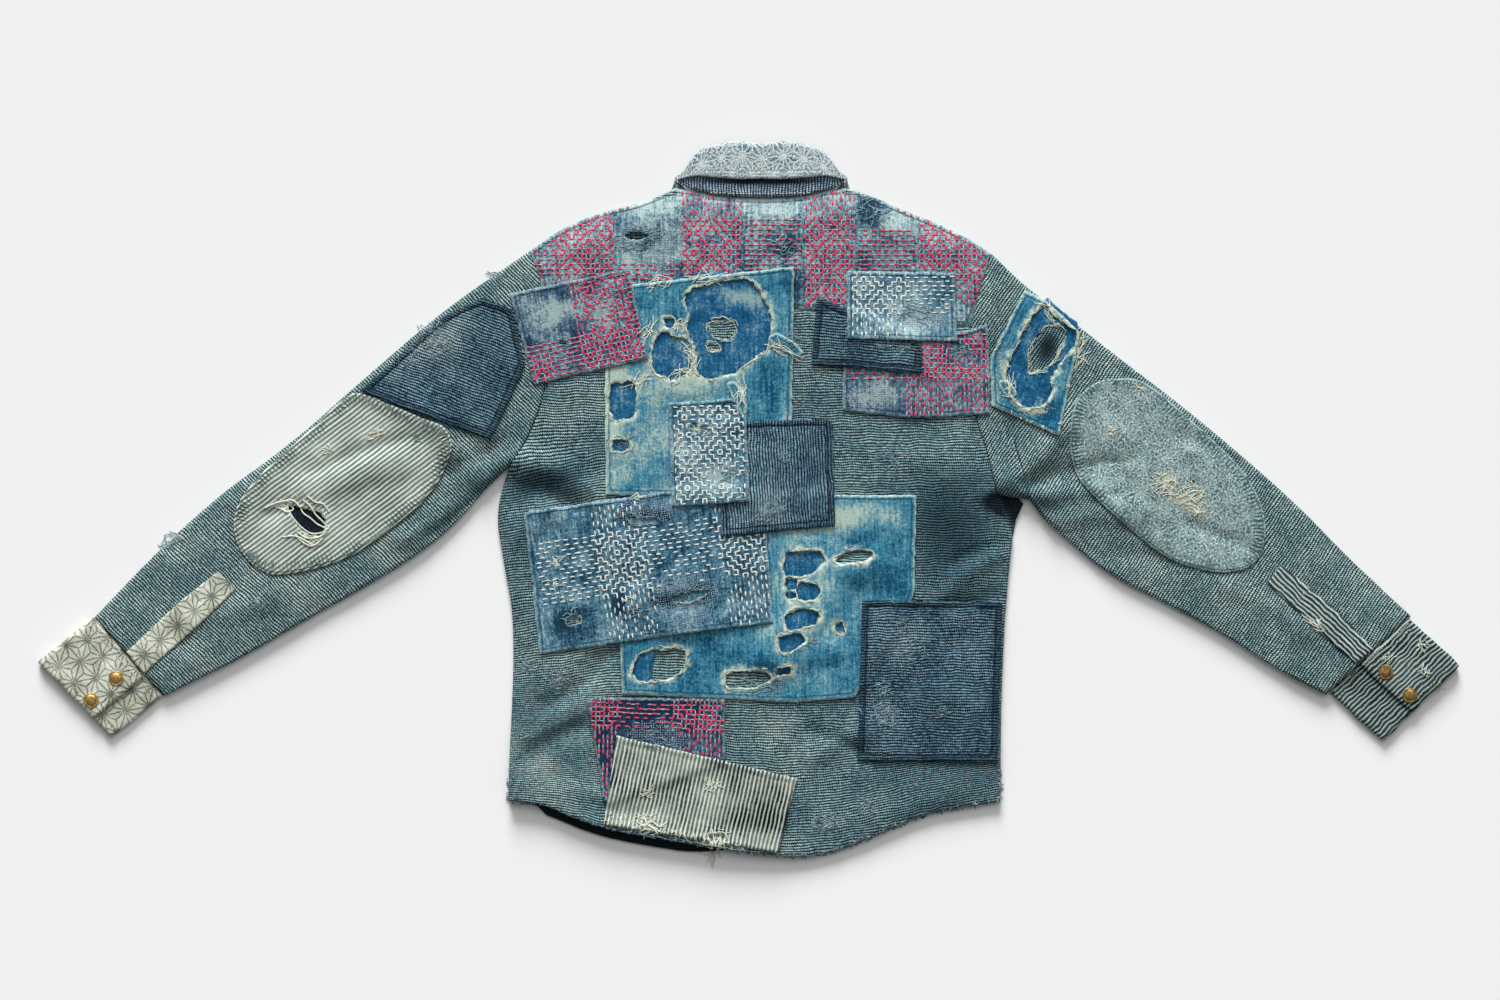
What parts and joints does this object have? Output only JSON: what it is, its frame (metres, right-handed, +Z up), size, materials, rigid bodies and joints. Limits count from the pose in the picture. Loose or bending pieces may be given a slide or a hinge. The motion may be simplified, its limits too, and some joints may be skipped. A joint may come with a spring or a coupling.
{
  "type": "patched boro jacket",
  "caption": "Knitted jacket mended with many sewn-on patches, laid face down with its sleeves spread, cuffs snapped shut and its back up",
  "frame": {"origin": "centre of the outline in plan, on the surface that the cloth lies on", "axes": "+X across the back towards the wearer's right sleeve, +Y from hem to collar, +Z up out of the back"},
  "size_m": [1.4206, 0.7131, 0.0201],
  "materials": {
    "knit_blue": "heavy garter knit, faded",
    "knit_indigo": "heavy rib knit, dark",
    "denim": "bleached twill, worn",
    "yoke_cloth": "plain weave with running stitch",
    "sashiko_red": "plain weave with red running stitch",
    "sashiko_white": "plain weave with white running stitch",
    "stripe": "striped twill, worn",
    "collar_cloth": "plain weave, stitched",
    "stand_knit": "rib knit, dark",
    "cuff_cream": "plain weave, stitched",
    "cuff_stripe": "striped plain weave",
    "cotton_green": "striped cotton, gathered",
    "cotton_blue": "faded cotton, gathered",
    "placket_cream": "striped cotton",
    "placket_stripe": "striped cotton",
    "brass": "polished",
    "antique_brass": "aged"
  },
  "bodies": {
    "root": {"back_body": "knit_blue", "back_yoke": "yoke_cloth", "collar_fall": "collar_cloth", "collar_stand": "stand_knit", "cuff_left": "cuff_cream", "cuff_right": "cuff_stripe", "elbow_patch_left": "cotton_green", "elbow_patch_right": "cotton_blue", "front_left": "knit_blue", "front_right": "knit_blue", "patch_denim_lower": "denim", "patch_denim_upper": "denim", "patch_knit_centre": "knit_indigo", "patch_knit_lower": "knit_indigo", "patch_knit_shoulder": "knit_indigo", "patch_pink": "sashiko_red", "patch_red_bottom": "sashiko_red", "patch_red_left": "sashiko_red", "patch_sashiko_large": "sashiko_white", "patch_stripe": "stripe", "patch_white_centre": "sashiko_white", "patch_white_shoulder": "sashiko_white", "placket_left": "placket_cream", "placket_right": "placket_stripe", "sleeve_left": "knit_blue", "sleeve_patch_denim_right": "denim", "sleeve_patch_knit_left": "knit_indigo", "sleeve_right": "knit_blue", "snap_left_1": "brass", "snap_left_2": "brass", "snap_right_1": "antique_brass", "snap_right_2": "antique_brass"}
  },
  "joints": []
}
